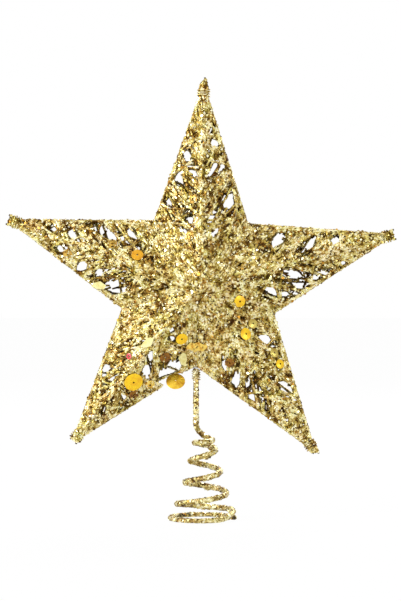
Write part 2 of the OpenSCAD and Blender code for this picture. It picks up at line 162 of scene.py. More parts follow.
def eased(x, width):
    """Zero up to zero, then a slope of one, with the bend between them drawn out over a width."""
    return 0.0 if x <= 0 else x*x/(2*width) if x < width else x - width/2

def spring_point(a):
    """The middle of the wire at an angle along the spring. It lies flat, then climbs and narrows,
    with a kink where it passes over its own cut end."""
    climb = eased(a - LIFT_OFF, LIFT_EASE)
    kink = KINK*math.exp(-((a - KINK_AT)/KINK_WIDE)**2)
    rise = PITCH/360*(climb - CLOSER*eased(a - CLOSER_FROM, CLOSER_EASE)) + kink
    share = climb/NARROWING
    r = TOP_R + FLARE*(1 - share)**FLARE_POWER
    across = r*math.cos(math.radians(a)) + AXIS_X*min(1, 3*share)
    return Vector((across, r*math.sin(math.radians(a)), FOOT_HEIGHT + rise))/1000

def spring_turns(first, last, step=9):
    """Points along the spring from one angle to another."""
    count = math.ceil((last - first)/step)
    return [spring_point(first + (last - first)*i/count) for i in range(count + 1)]

# The tints of the glitter, from brown to cream, each with its place between 0 and 1. The brown and
# cream ends are partly the glitter's own colours and partly painted shade and painted glints.
GOLDS = ((0.08, (0.08, 0.035, 0.003)), (0.27, (0.19, 0.10, 0.010)), (0.42, (0.42, 0.28, 0.05)),
         (0.58, (0.62, 0.47, 0.13)), (0.74, (0.84, 0.73, 0.32)), (0.92, (0.95, 0.89, 0.58)))

def clouds(tree, scale, detail=2.0):
    """Cloudy patches on a piece, so many to the metre."""
    where = tree.nodes.new("ShaderNodeTexCoord")
    noise = new_node(tree, "ShaderNodeTexNoise", {"Scale": scale, "Detail": detail})
    tree.links.new(where.outputs["Object"], noise.inputs["Vector"])
    return noise.outputs["Fac"]

def tinted(tree, value, tints):
    """The colour that a value gives, by a row of positions and tints."""
    stops = tree.nodes.new("ShaderNodeValToRGB")
    row = stops.color_ramp.elements
    row[0].position, row[1].position = tints[0][0], tints[-1][0]
    for position, _ in tints[1:-1]:
        row.new(position)
    for stop, (_, tint) in zip(row, tints):
        stop.color = (*tint, 1)
    tree.links.new(value, stops.inputs[0])
    return stops.outputs[0]

def roughen(tree, surface, height, strength, depth):
    """Gives a surface a fine relief by a value."""
    relief = new_node(tree, "ShaderNodeBump", {"Strength": strength, "Distance": depth})
    tree.links.new(height, relief.inputs["Height"])
    tree.links.new(relief.outputs[0], surface.inputs["Normal"])

def glitter_gold(name, grain, paler=0.0, level=1.0, mottle=1.0, saturation=1.0):
    """A coat of glitter: grains of their own tint and tilt, in drifts from brown to cream and from
    olive to rose. The brown and cream grains are partly the glitter's own colours and partly painted
    shade and painted glints. paler moves the tints along GOLDS, mottle spreads them, and level dims them all."""
    coat, tree, metal = new_finish(name, {"Metallic": 0.9})
    where = tree.nodes.new("ShaderNodeTexCoord")
    grains = new_node(tree, "ShaderNodeTexVoronoi", {"Scale": 1/grain, "Randomness": 1.0})
    tree.links.new(where.outputs["Object"], grains.inputs["Vector"])
    parts = tree.nodes.new("ShaderNodeSeparateColor")
    tree.links.new(grains.outputs["Color"], parts.inputs[0])
    tone = worked_out(tree, "MULTIPLY_ADD", parts.outputs[0], 0.46*mottle, 0.45 - 0.23*mottle + paler)
    for size, detail, weight in ((0.0036, 1.0, 0.78), (0.016, 2.0, 0.40)):
        half = mottle*weight/2
        drift = ranged(tree, clouds(tree, 1/size, detail), -half, half, 0.32, 0.68)
        tone = worked_out(tree, "ADD", tone, drift)
    shift = new_node(tree, "ShaderNodeHueSaturation", {"Saturation": saturation})
    tree.links.new(ranged(tree, clouds(tree, 170), 0.482, 0.522, 0.3, 0.7), shift.inputs["Hue"])
    golds = [(position, [level*x for x in tint]) for position, tint in GOLDS]
    tree.links.new(tinted(tree, tone, golds), shift.inputs["Color"])
    tree.links.new(shift.outputs[0], metal.inputs["Base Color"])
    tree.links.new(ranged(tree, parts.outputs[1], 0.3, 0.62), metal.inputs["Roughness"])
    tilt = worked_out(tree, "SUBTRACT", parts.outputs[2], grains.outputs["Distance"])
    roughen(tree, metal, tilt, 0.6, grain*0.5)
    return coat

FLAKE_TINTS = ((0.0, (0.05, 0.022, 0.003)), (0.16, (0.13, 0.07, 0.008)), (0.24, (0.46, 0.21, 0.02)),
               (0.32, (0.30, 0.20, 0.035)), (0.50, (0.56, 0.43, 0.12)), (0.66, (0.76, 0.64, 0.27)),
               (0.82, (0.88, 0.81, 0.45)), (1.0, (0.96, 0.91, 0.66)))

def flake_gold(name):
    """The single flakes: each has a tint of its own, from cream through gold and amber to brown, partly
    the glitter's own colours and partly painted glints and painted shade.
    """
    coat, tree, metal = new_finish(name, {"Metallic": 0.85})
    own = tree.nodes.new("ShaderNodeAttribute")
    own.attribute_name = "tint"
    cloud = clouds(tree, 900)
    tone = worked_out(tree, "MULTIPLY_ADD", cloud, 0.06, own.outputs["Fac"])
    tree.links.new(tinted(tree, tone, FLAKE_TINTS), metal.inputs["Base Color"])
    tree.links.new(ranged(tree, cloud, 0.16, 0.42), metal.inputs["Roughness"])
    roughen(tree, metal, cloud, 0.15, 0.0002)
    return coat

def chosen(piece):
    """Makes a piece the only one selected, and the active one."""
    bpy.ops.object.select_all(action="DESELECT")
    piece.select_set(True)
    bpy.context.view_layer.objects.active = piece

def in_order(piece):
    """Sorts the points and faces by their distance from the origin. Mesh operators leave them in
    an order that changes from run to run, and flakes and random offsets go by it."""
    chosen(piece)
    bpy.ops.object.mode_set(mode="EDIT")
    bpy.ops.mesh.select_all(action="SELECT")
    bpy.ops.mesh.sort_elements(type="CURSOR_DISTANCE", elements={"VERT", "FACE"})
    bpy.ops.object.mode_set(mode="OBJECT")

def wire_runs(name, runs, radius, lumps, sides):
    """Wire bent along rows of points, each row one length of wire with closed ends. lumps is the
    share by which its coat swells and shrinks, and sides how finely it is rounded."""
    path = bpy.data.curves.new(name, "CURVE")
    path.dimensions = "3D"
    path.bevel_depth = radius
    path.bevel_resolution = sides
    path.use_fill_caps = True
    for row in runs:
        run = path.splines.new("POLY")
        run.points.add(len(row) - 1)
        for point, place in zip(run.points, row):
            point.co = (*place, 1)
            point.radius = 1 + random.uniform(-lumps, lumps)
    wire = bpy.data.objects.new(name, path)
    bpy.context.collection.objects.link(wire)
    chosen(wire)
    bpy.ops.object.convert(target="MESH")
    wire = bpy.context.object
    bpy.ops.object.mode_set(mode="EDIT")
    bpy.ops.mesh.select_all(action="SELECT")
    bpy.ops.mesh.remove_doubles(threshold=1e-6)
    bpy.ops.mesh.normals_make_consistent(inside=False)
    bpy.ops.object.mode_set(mode="OBJECT")
    bpy.ops.object.shade_smooth_by_angle(angle=math.radians(50))
    return wire

# One glitter flake, a cut hexagon 1 mm across, that sprinkle copies.
bpy.ops.object.select_all(action="DESELECT")
bpy.ops.mesh.primitive_cylinder_add(vertices=6, radius=0.0005, depth=0.00008, location=(0, 0, 0.00003))
flake = bpy.context.object
flake.name = "glitter_flake"
bpy.ops.object.transform_apply()
flake.data.materials.append(flake_gold("gold_flakes"))

FULL_TURN = 6.283

def sprinkle(piece, per_mm2, size, seed, tilt=0.5, facing=0):
    """Sows flakes over a piece, or over its front (facing -1) or back (1): each stands on the
    surface, tilted and turned its own way. size is the least and greatest share of a full flake."""
    tree = bpy.data.node_groups.new("sprinkle", "GeometryNodeTree")
    tree.interface.new_socket("Geometry", in_out="INPUT", socket_type="NodeSocketGeometry")
    tree.interface.new_socket("Geometry", in_out="OUTPUT", socket_type="NodeSocketGeometry")
    nodes, links = tree.nodes, tree.links
    start, end = nodes.new("NodeGroupInput"), nodes.new("NodeGroupOutput")
    sown = new_node(tree, "GeometryNodeDistributePointsOnFaces", {"Density": per_mm2*1e6, "Seed": seed})
    links.new(start.outputs[0], sown.inputs["Mesh"])
    if facing:
        heading = nodes.new("GeometryNodeInputNormal")
        parts = nodes.new("ShaderNodeSeparateXYZ")
        links.new(heading.outputs[0], parts.inputs[0])
        ahead = worked_out(tree, "MULTIPLY", parts.outputs["Y"], facing)
        links.new(worked_out(tree, "GREATER_THAN", ahead, 0.1), sown.inputs["Selection"])
    one = nodes.new("GeometryNodeObjectInfo")
    one.inputs["Object"].default_value = flake
    turn = nodes.new("FunctionNodeRandomValue")
    turn.data_type = "FLOAT_VECTOR"
    turn.inputs["Min"].default_value = (-tilt, -tilt, 0)
    turn.inputs["Max"].default_value = (tilt, tilt, FULL_TURN)
    turn.inputs["Seed"].default_value = seed + 1
    lean = nodes.new("FunctionNodeEulerToRotation")
    links.new(turn.outputs[0], lean.inputs[0])
    both = nodes.new("FunctionNodeRotateRotation")
    both.rotation_space = "LOCAL"
    links.new(sown.outputs["Rotation"], both.inputs[0])
    links.new(lean.outputs[0], both.inputs[1])
    big = nodes.new("FunctionNodeRandomValue")
    big.data_type = "FLOAT"
    big.inputs[2].default_value, big.inputs[3].default_value = size
    big.inputs["Seed"].default_value = seed + 2
    placed = nodes.new("GeometryNodeInstanceOnPoints")
    links.new(sown.outputs["Points"], placed.inputs["Points"])
    links.new(one.outputs["Geometry"], placed.inputs["Instance"])
    links.new(both.outputs[0], placed.inputs["Rotation"])
    links.new(big.outputs[1], placed.inputs["Scale"])
    shade = nodes.new("FunctionNodeRandomValue")
    shade.data_type = "FLOAT"
    shade.inputs["Seed"].default_value = seed + 3
    kept = nodes.new("GeometryNodeStoreNamedAttribute")
    kept.domain = "INSTANCE"
    kept.inputs["Name"].default_value = "tint"
    links.new(placed.outputs[0], kept.inputs["Geometry"])
    links.new(shade.outputs[1], kept.inputs["Value"])
    real = nodes.new("GeometryNodeRealizeInstances")
    links.new(kept.outputs[0], real.inputs[0])
    coated = nodes.new("GeometryNodeJoinGeometry")
    links.new(start.outputs[0], coated.inputs[0])
    links.new(real.outputs[0], coated.inputs[0])
    links.new(coated.outputs[0], end.inputs[0])
    chosen(piece)
    sowing = piece.modifiers.new("glitter", "NODES")
    sowing.node_group = tree
    bpy.ops.object.modifier_apply(modifier=sowing.name)
    bpy.data.node_groups.remove(tree)
    return piece

def bare_steel(name):
    """The wire under the glitter: dark, dull, with a brown bloom; it shows where it was cut, and it also
    serves as painted shade over the back of the ring.
    """
    steel, tree, metal = new_finish(name, {"Metallic": 0.8})
    bloom = clouds(tree, 1500)
    browns = (0.35, (0.035, 0.028, 0.016)), (0.65, (0.12, 0.085, 0.035))
    tree.links.new(tinted(tree, bloom, browns), metal.inputs["Base Color"])
    tree.links.new(ranged(tree, bloom, 0.35, 0.65), metal.inputs["Roughness"])
    roughen(tree, metal, bloom, 0.3, 0.0001)
    return steel

def with_bare_steel(wire, stretches, radius):
    """Joins to a coated wire the stretches where its steel sticks out, and on the ring a dark stretch of
    bare steel laid over the coat as painted shade.
    """
    bare = wire_runs("bare_ends", stretches, radius, 0.0, 2)
    bare.data.materials.append(steel)
    chosen(wire)
    bare.select_set(True)
    bpy.ops.object.join()

steel = bare_steel("cut_steel_and_painted_shade")
spring_coat = glitter_gold("glitter_on_spring", 0.0010, 0.09, 0.94, mottle=0.7, saturation=0.88)
random.seed(3)
# The wire's last turn runs into the stem in a curve that leaves the one and meets the other
# straight on. lead is its points.
coil_top, stem_start = spring_point(COIL_END), Vector((STEM_X, 0, STEM_FOOT))
leaving = coil_top + 0.004*(spring_point(COIL_END + 1) - spring_point(COIL_END - 1)).normalized()
meeting = Vector((STEM_X, 0, STEM_FOOT - 0.004))
lead = [(1 - t)**3*coil_top + 3*t*(1 - t)**2*leaving + 3*t*t*(1 - t)*meeting + t**3*stem_start
        for t in (i/10 for i in range(1, 11))]
spring_wires = {"base_ring": spring_turns(1.5, RING_END),
                "lower_coil": spring_turns(RING_END, MIDDLE_FROM),
                "middle_coil": spring_turns(MIDDLE_FROM, UPPER_FROM),
                "upper_coil": spring_turns(UPPER_FROM, COIL_END) + lead,
                "stem_wire": [Vector((STEM_X, 0, STEM_FOOT + STEM_LENGTH*i/12)) for i in range(13)]}
# Drops of glue under the coils: the angle along the spring, and the radius in mm.
GLUE_DROPS = {"lower_coil": ((375, 1.5), (450, 1.4), (800, 1.7)), "middle_coil": ((925, 1.5),),
              "upper_coil": ((1275, 1.6), (1360, 1.6), (1485, 1.6))}

def glue_drop(a, radius):
    """A drop of glue under the wire that set with glitter in it."""
    place = spring_point(a) - Vector((0, 0, 0.0006))
    bpy.ops.object.select_all(action="DESELECT")
    bpy.ops.mesh.primitive_ico_sphere_add(subdivisions=3, radius=radius/1000, location=place)
    lump = bpy.context.object
    lump.name = "glue_lump"
    lump.scale = (1.25, 1, 0.9)
    bpy.ops.object.transform_apply(location=True, rotation=True, scale=True)
    bpy.ops.object.mode_set(mode="EDIT")
    bpy.ops.mesh.select_all(action="SELECT")
    bpy.ops.transform.vertex_random(offset=0.0002, seed=a)
    bpy.ops.object.mode_set(mode="OBJECT")
    lump.data.materials.append(spring_coat)
    return lump

# How each coil is cut: from which body to which, between which angles, and in how many lengths.
# The upper one's last quarter turn stays stiff with the stem.
SPRING_BENDS = {"lower_coil": ("base", "lower_spring", RING_END, MIDDLE_FROM, 6),
                "middle_coil": ("lower_spring", "middle_spring", MIDDLE_FROM, UPPER_FROM, 4),
                "upper_coil": ("middle_spring", "star", UPPER_FROM, COIL_END - 90, 5)}

def turn_at(place):
    """The angle along the spring that is nearest to a place, or the last one for the lead."""
    def away(a):
        return (spring_point(a) - place).length

    turn = math.degrees(math.atan2(place.y, place.x - AXIS_X/1000))
    turn = min((min(turn + 360*i, COIL_END) for i in range(6)), key=away)
    on_lead = min((point - place).length for point in lead) < away(turn)
    return COIL_END if on_lead else turn

def bend_by_turns(wire, name, body, next_body, first, last, count):
    """Cuts a coil in short lengths at even angles from first to last, each a piece of its own. What is
    left over past the last angle rides the next body. body is not used."""
    cuts = [first + (last - first)*i/count for i in range(count)] + [last]
    bpy.context.tool_settings.mesh_select_mode = (False, False, True)
    for i in range(count, -1, -1):
        length = wire
        if i:
            chosen(wire)
            bpy.ops.object.mode_set(mode="EDIT")
            bpy.ops.mesh.select_all(action="DESELECT")
            bpy.ops.object.mode_set(mode="OBJECT")
            for face in wire.data.polygons:
                face.select = turn_at(face.center) >= cuts[i]
            if not any(face.select for face in wire.data.polygons):
                continue
            bpy.ops.object.mode_set(mode="EDIT")
            bpy.ops.mesh.separate(type="SELECTED")
            bpy.ops.object.mode_set(mode="OBJECT")
            length = next(piece for piece in bpy.context.selected_objects if piece != wire)
            length.name = f"glitter_{name}_{i + 1}"
        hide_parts(name)
        if i == count:
            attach(length, next_body)
        else:
            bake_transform(length)
    bpy.context.tool_settings.mesh_select_mode = (True, False, False)

for name, row in spring_wires.items():
    wire = wire_runs("glitter_" + name, [row], WIRE_R, 0.06, 3)
    wire.data.materials.append(spring_coat)
    drops = [glue_drop(a, radius) for a, radius in GLUE_DROPS.get(name, ())]
    chosen(wire)
    for drop in drops:
        drop.select_set(True)
    if drops:
        bpy.ops.object.join()
    sprinkle(wire, 0.6, (0.8, 1.5), 11, 0.35)
    if name == "base_ring":
        with_bare_steel(wire, [spring_turns(0, 3, 1)], CUT_END_R)
        # A dark stretch of bare steel over the back of the ring: painted shade.
        with_bare_steel(wire, [spring_turns(110, 150)], PAINTED_SHADE_R)
    for point in wire.data.vertices:
        point.co.z = max(point.co.z, 0)
    if name in SPRING_BENDS:
        bend_by_turns(wire, name, *SPRING_BENDS[name])
        continue
    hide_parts(name)
    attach(wire, "base" if name == "base_ring" else "star")

# The star's frame: five thick wires, each bent round a valley from one arm's tip to the next, and
# thinner ones from the middle to each tip and valley, front and back. All wear the same glitter.
ARMS = ("top", "right", "lower_right", "lower_left", "left")
VALLEYS = ("upper_right", "mid_right", "bottom", "mid_left", "upper_left")
# In degrees, clockwise: how far the whole star leans, and each arm beside its fifth of the circle.
STAR_LEAN, ARM_LEANS = 2, (-0.6, 1.1, -1.1, 1.1, -0.7)
# In mm: the middle's x and z, and how far the middle and the facets' edges stand from the plane
# between front and back.
MIDDLE_X, MIDDLE_Z, DEPTH, SEAT = -1.8, 119.7, 21, 2.032
# In mm from the middle: the valleys; the knees, where an arm's two edge wires come to run side by
# side; where they part; and the tip. APART is half the distance between the two.
VALLEY, KNEE, PARTING, TIP, APART = 40, 97, 101.4, 104, 1.7
# In mm along them: where the ridge and spoke wires start and end. The ridges fall by a share.
RIB_START, RIDGE_END, SPOKE_END, RIDGE_FALL = 5.4, 98.0, 44.3, 0.186
# In metres: the radius of the edge wires, of the ridges and spokes, and of their bare ends.
EDGE_R, RIB_R, END_R = 0.00078, 0.00068, 0.00048
spoke_tilt = math.atan2(DEPTH - SEAT, VALLEY)

def arm_turn(k):
    """Where arm k points, in degrees clockwise from straight up."""
    return STAR_LEAN + 72*k + ARM_LEANS[k]

def valley_turn(k):
    """Where the valley after arm k lies."""
    return STAR_LEAN + 36 + 72*k

def star_place(p, degrees):
    """A point of the star's own frame, in mm, turned clockwise and put in its place."""
    c, s = math.cos(math.radians(degrees)), math.sin(math.radians(degrees))
    return Vector((p[0]*c + p[2]*s + MIDDLE_X, p[1], MIDDLE_Z + p[2]*c - p[0]*s))/1000

def facet_frame(k, side):
    """The middle, ridge end, valley and knee of one facet, and the way out of it. side is -1 for
    the facet left of arm k's ridge and 1 for the one right of it."""
    d = math.radians(36 - side*ARM_LEANS[k])
    x, z = VALLEY*math.sin(d), VALLEY*math.cos(d)
    rise = (DEPTH - SEAT)*(x - APART)/(x*KNEE - z*APART)
    middle, ridge = Vector((0, -DEPTH, 0)), Vector((0, rise*KNEE - DEPTH, KNEE))
    valley, knee = Vector((x, -SEAT, z)), Vector((APART, -SEAT, KNEE))
    return middle, ridge, valley, knee, (ridge - middle).cross(valley - middle).normalized()

def on_facet(k, side, back, s, t, lift=0.0):
    """A point over a facet: shares of the way out and across, and mm over its face."""
    middle, ridge, valley, knee, out = facet_frame(k, side)
    if out.y > 0:
        out = -out
    edge = (1 - s)*(valley - middle) + s*(knee - middle)
    p = middle + (1 - t)*s*(ridge - middle) + t*edge + lift*out
    return star_place((side*p.x, -p.y if back else p.y, p.z), arm_turn(k))

# Where the two wires of each tip end, left and right: shares of their spread across and out.
TIP_ENDS = (((-0.5, 0.2), (0.15, 1.3)), ((-1, 0), (1, 0)), ((-0.4, 0.6), (0.4, 0)),
            ((-0.75, -0.6), (0.75, -0.7)), ((-1, 0), (1, 0)))
frame_coat = glitter_gold("glitter_on_frame", 0.0010, 0.06)
random.seed(5)

def finer(row):
    """The same row of points with more between them, so that the wire can be lumpy."""
    fine = [row[0]]
    for a, b in zip(row, row[1:]):
        count = max(1, round((b - a).length/0.0022))
        fine += [a.lerp(b, i/count) for i in range(1, count + 1)]
    return fine

def frame_wire(name, row, radius, bare=0.0):
    """One wire of the frame in its coat, with so many metres bare at both ends."""
    ends = []
    if bare:
        for a, b in ((0, 1), (-1, -2)):
            cut = row[a].lerp(row[b], bare/(row[a] - row[b]).length)
            ends.append([row[a], cut.lerp(row[b], 0.3)])
            row[a] = cut
    wire = wire_runs("glitter_" + name, [finer(row)], radius, 0.12, 2)
    wire.data.materials.append(frame_coat)
    sprinkle(wire, 0.5, (0.8, 1.3), 21, 0.35)
    if ends:
        with_bare_steel(wire, ends, END_R)
    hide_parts(name)
    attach(wire, "star")

def edge_leg(k, side, end):
    """An edge wire from its end at arm k's tip down to the knee."""
    places = (end[0]*2.6, 0, TIP + end[1]*2.4), (side*APART, 0, PARTING), (side*APART, 0, KNEE)
    return [star_place(p, arm_turn(k)) for p in places]

def rib(way, slope, turn, end):
    """A straight wire from the knot down a slope, on the front (way -1) or the back (way 1)."""
    return [star_place((0, way*(DEPTH - r*math.sin(slope)), r*math.cos(slope)), turn)
            for r in (RIB_START, end)]

for k, valley in enumerate(VALLEYS):
    after = (k + 1) % 5
    near_leg, far_leg = edge_leg(k, 1, TIP_ENDS[k][1]), edge_leg(after, -1, TIP_ENDS[after][0])
    corner = star_place((0, 0, VALLEY), valley_turn(k))
    a = corner + 0.0022*(near_leg[2] - corner).normalized()
    b = corner + 0.0022*(far_leg[2] - corner).normalized()
    bend = [(1 - t)**2*a + 2*t*(1 - t)*corner + t*t*b for t in (i/5 for i in range(6))]
    dent = []
    if valley == "bottom":
        leg = far_leg[2] - corner
        inward = 0.0036*Vector((leg.z, 0, -leg.x)).normalized()
        dent = [corner + 0.283*leg + inward, corner + 0.307*leg + inward, corner + 0.38*leg]
    frame_wire("edge_wire_" + valley, near_leg + bend + dent + far_leg[::-1], EDGE_R, bare=0.0008)
for way, face in ((-1, "front"), (1, "back")):
    for k, arm in enumerate(ARMS):
        row = rib(way, math.atan(RIDGE_FALL), arm_turn(k), RIDGE_END)
        frame_wire(f"{face}_ridge_{arm}", row, RIB_R)
    for k, valley in enumerate(VALLEYS):
        frame_wire(f"{face}_spoke_{valley}", rib(way, spoke_tilt, valley_turn(k), SPOKE_END), RIB_R)

# The bindings: thin wire wound round the two wires at each tip, and round the stem under the star.
# Its turns lie half a millimetre apart.
BINDING_R, BINDING_PITCH = 0.00035, 1.2

def winding(name, turns, apart, r, place, coat):
    """Turns of wire, in mm, round two wires that stand apart to each side, or round a single one."""
    row = []
    for a in (math.tau*i/16 for i in range(turns*16 + 1)):
        across = apart*max(-1, min(1, 3*math.cos(a))) + r*math.cos(a)
        row.append(place((across, r*math.sin(a), BINDING_PITCH*a/math.tau)))
    wire = wire_runs("glitter_" + name, [row], BINDING_R, 0.06, 1)
    wire.data.materials.append(coat)
    sprinkle(wire, 0.35, (0.6, 1.0), 31, 0.4)
    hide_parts(name)
    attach(wire, "star")

binding_coat = glitter_gold("glitter_on_binding", 0.0008, 0.06)

def round_tip(k):
    return lambda p: star_place((p[0], p[1], KNEE + 0.4 + p[2]), arm_turn(k))

def round_stem(p):
    return Vector((1000*STEM_X + p[0], p[1], 1000*(stem_box[0].z + BINDING_R) + p[2]))/1000

for k, arm in enumerate(ARMS):
    winding("tip_binding_" + arm, 3, APART, 1.35, round_tip(k), binding_coat)
stem_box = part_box("stem_binding")
winding("stem_binding", 4, 0, 1.95, round_stem, spring_coat)

# The lacing: thin wire in the same glitter, laced to and fro over each facet between its ridge, its
# edge and its spoke. It leaves the gaps of the real one, and is thickest towards the middle.
# The gaps, arm by arm, left of the ridge and then right of it: shares of the way out and across,
# and size beside a gap of GAP_R.
GAP_R = 0.0028
LACING_GAPS = (
    (((0.59, 0.73, 0.8), (0.40, 0.80, 0.9), (0.21, 0.87, 0.6), (0.55, 0.32, 0.5), (0.28, 0.28, 0.7),
      (0.17, 0.39, 0.7)),
     ((0.78, 0.57, 0.5), (0.69, 0.68, 0.6), (0.27, 0.77, 1.3), (0.55, 0.59, 0.7), (0.50, 0.79, 0.6),
      (0.54, 0.37, 0.5), (0.28, 0.29, 0.7), (0.19, 0.35, 0.6))),
    (((0.30, 0.75, 1.0), (0.54, 0.54, 0.9), (0.70, 0.60, 0.6)),
     ((0.67, 0.85, 0.5), (0.41, 0.46, 0.9), (0.54, 0.78, 0.7), (0.46, 0.83, 0.5), (0.34, 0.79, 0.8),
      (0.19, 0.60, 0.8), (0.21, 0.82, 0.5), (0.25, 0.92, 0.4))),
    (((0.59, 0.65, 0.6), (0.63, 0.77, 0.5), (0.69, 0.85, 0.4), (0.25, 0.71, 0.9)),
     ((0.36, 0.78, 0.8), (0.47, 0.56, 0.7), (0.51, 0.77, 0.6), (0.60, 0.59, 0.6), (0.64, 0.75, 0.5),
      (0.82, 0.40, 0.4), (0.26, 0.65, 0.8))),
    (((0.41, 0.16, 0.5), (0.22, 0.17, 0.4), (0.22, 0.32, 0.5), (0.44, 0.42, 0.9), (0.30, 0.82, 0.8),
      (0.21, 0.79, 0.7), (0.64, 0.54, 0.6), (0.80, 0.35, 0.4), (0.10, 1.05, 0.7), (0.17, 1.0, 0.8),
      (0.24, 0.97, 1.0), (0.30, 0.86, 0.9)),
     ((0.50, 0.84, 0.7), (0.60, 0.48, 0.7))),
    (((0.69, 0.63, 0.6), (0.48, 0.77, 0.9), (0.38, 0.66, 0.7), (0.17, 0.85, 0.6), (0.25, 0.71, 0.9)),
     ((0.79, 0.48, 0.5), (0.68, 0.45, 0.7), (0.46, 0.75, 0.8), (0.40, 0.59, 0.7), (0.23, 0.77, 0.9),
      (0.33, 0.62, 0.5))))
# Single strands that stand out: arm, side, both ends as shares of the facet, and coat (0 cream,
# 2 brown).
LOOSE_STRANDS = (
    (4, 1, (0.74, 0.32), (0.59, 0.86), 2), (4, 1, (0.52, 0.42), (0.43, 0.90), 2),
    (4, 1, (0.70, 0.15), (0.50, 0.62), 0), (4, 1, (0.16, 0.10), (0.05, 0.42), 0),
    (4, 1, (0.0, 0.06), (0.10, 0.20), 0), (2, -1, (0.01, 0.08), (0.12, 0.16), 0),
    (1, 1, (0.07, 0.0), (0.02, 0.12), 0), (1, -1, (0.11, 0.06), (0.03, 0.0), 0),
    (3, 1, (0.55, 0.05), (0.38, 0.80), 0), (3, -1, (0.62, 0.15), (0.36, 0.90), 0),
    (2, 1, (0.66, 0.10), (0.45, 0.85), 0), (2, -1, (0.52, 0.05), (0.36, 0.95), 0),
    (1, 1, (0.74, 0.30), (0.58, 0.95), 2), (1, -1, (0.70, 0.10), (0.52, 0.90), 0),
    (0, 1, (0.66, 0.10), (0.50, 0.90), 0), (0, -1, (0.62, 0.05), (0.44, 0.95), 0),
    (0, -1, (0.30, 0.45), (0.16, 0.85), 2), (0, 1, (0.30, 0.20), (0.14, 0.80), 0))
# The facet by the dented stretch of edge wire, from which a sequin hangs: no lacing goes round it.
DENTED = 3, -1

def strand(k, side, back, start, end, lift, steps):
    """Points from one place on a facet to another, over a low arch and drawn nearly straight."""
    row = []
    for i in range(steps + 1):
        s = start[0] + (end[0] - start[0])*i/steps
        t = start[1] + (end[1] - start[1])*i/steps
        row.append(on_facet(k, side, back, s, t, lift + 0.25*math.sin(math.pi*i/steps)))
    return [a.lerp(row[0].lerp(row[-1], i/steps), 0.7) for i, a in enumerate(row)]

def clears_gaps(k, side, row, reach):
    """Whether a row of points stays out of the facet's gaps, or of that share of each."""
    for s, t, size in LACING_GAPS[k][(side + 1)//2]:
        centre = on_facet(k, side, False, s, t)
        for a, b in zip(row, row[1:]):
            u = max(0.0, min(1.0, (centre - a).dot(b - a)/(b - a).length_squared))
            if (a + u*(b - a) - centre).length < reach*size*GAP_R + 0.0002:
                return False
    return True

def within(x, low=0.01, high=0.99):
    return min(high, max(low, x))

# Each of these three takes a random share of the way out, and gives both ends of a strand and the
# number of its steps.
def long_ends(s):
    """From ridge to edge, some far aslant, or for one in five from the spoke to either."""
    s = s**1.2*0.97
    pick = random.random()
    if pick < 0.2:
        start = 0.0, random.uniform(0.1, 1)
        return start, (random.uniform(0.05, 0.5), random.choice((0.0, 1.0))), 8
    stray = 0.13 if pick < 0.7 else 0.28
    return (s, 0.0), (within(s + random.gauss(0, stray)), 1.0), 7

def short_ends(s):
    """A short end or loop, mostly across the facet, which is 99 mm long and 25 mm wide."""
    s = 1 - math.sqrt(1 - s*0.995)
    t, wide = random.random(), 24*(1 - s) + 1
    turn = random.gauss(math.pi/2, 0.8)
    half = random.uniform(1.6, 4.2)
    ds, dt = half*math.cos(turn)/99, half*math.sin(turn)/wide
    return (within(s - ds), within(t - dt)), (within(s + ds), within(t + dt)), 2

def border_ends(s):
    """A turn along the ridge or, twice as often, along the edge."""
    s = s*0.95
    t = random.choice((random.uniform(0.0, 0.08), random.uniform(0.9, 1.0), random.uniform(0.93, 1.0)))
    end = within(s + random.uniform(0.05, 0.14)), within(t + random.gauss(0, 0.03))
    return (s, t), end, 4

def laced_facet(k, side, back, counts, lifts, reach=1.0):
    """Rows of points: so many long strands, short ones and turns along the borders, laid between two
    heights over the face in mm. One that would close a gap is laid again."""
    runs = []
    for count, ends in zip(counts, (long_ends, short_ends, border_ends)):
        for _ in range(count):
            for attempt in range(30):
                s, lift = random.random(), random.uniform(*lifts)
                start, end, steps = ends(s)
                if clears_gaps(k, side, strand(k, side, False, start, end, lift, steps), reach):
                    runs.append(strand(k, side, back, start, end, lift, steps))
                    break
    return runs

def edge_line(k, side):
    """The valley and the knee of a facet's edge wire, in their place."""
    valley, knee = facet_frame(k, side)[2:4]
    return [star_place((side*p.x, 0, p.z), arm_turn(k)) for p in (valley, knee)]

def wraps(k, side, back, count):
    """The lacing's turns over the edge wire, from its own face round to the outside."""
    turns = []
    way = 1 if back else -1
    valley, knee = edge_line(k, side)
    along = (knee - valley).normalized()
    turn = math.radians(STAR_LEAN + 72*k)
    outside = Vector((side*math.cos(turn), 0, -side*math.sin(turn)))
    outside = (outside - outside.dot(along)*along).normalized()
    for i in range(count):
        if (k, side) == DENTED and i < 0.4*count:
            continue
        here = valley.lerp(knee, (i + random.random())/count)
        slant, r = random.uniform(-0.0013, 0.0013), random.uniform(0.00028, 0.00048)
        turns.append([here + slant*j*along + r*(math.sin(a)*outside + Vector((0, way*math.cos(a), 0)))
                      for j, a in enumerate(math.radians(d) for d in (-25, 10, 45, 80, 110))])
    return turns

def edge_run(k, side, back):
    """The lacing's last turn, laid along the edge wire behind its face."""
    way = 1 if back else -1
    valley, knee = edge_line(k, side)
    first, steps = 20 if (k, side) == DENTED else 1, 48
    return [valley.lerp(knee, j/steps) + Vector((0, way*(0.00115 + 0.00012*math.sin(2.3*j + k)), 0))
            for j in range(first, steps)]

def tip_ends_between(k, side, back, count):
    """The lacing's last ends, caught between the two edge wires at the tip."""
    ends, way = [], 1 if back else -1
    near, far = Vector(TIP_ENDS[k][0]), Vector(TIP_ENDS[k][1])
    for i in range(count):
        share = random.uniform(0.15, 0.85)
        tip = near.lerp(far, share)
        start = (side*random.uniform(0, 1.5), way*random.uniform(0.1, 0.7), random.uniform(95, 101))
        end = (tip.x*2.3, way*random.uniform(0, 0.3), 103.2 + tip.y*2.2)
        ends.append([star_place(p, arm_turn(k)) for p in (start, end)])
    return ends

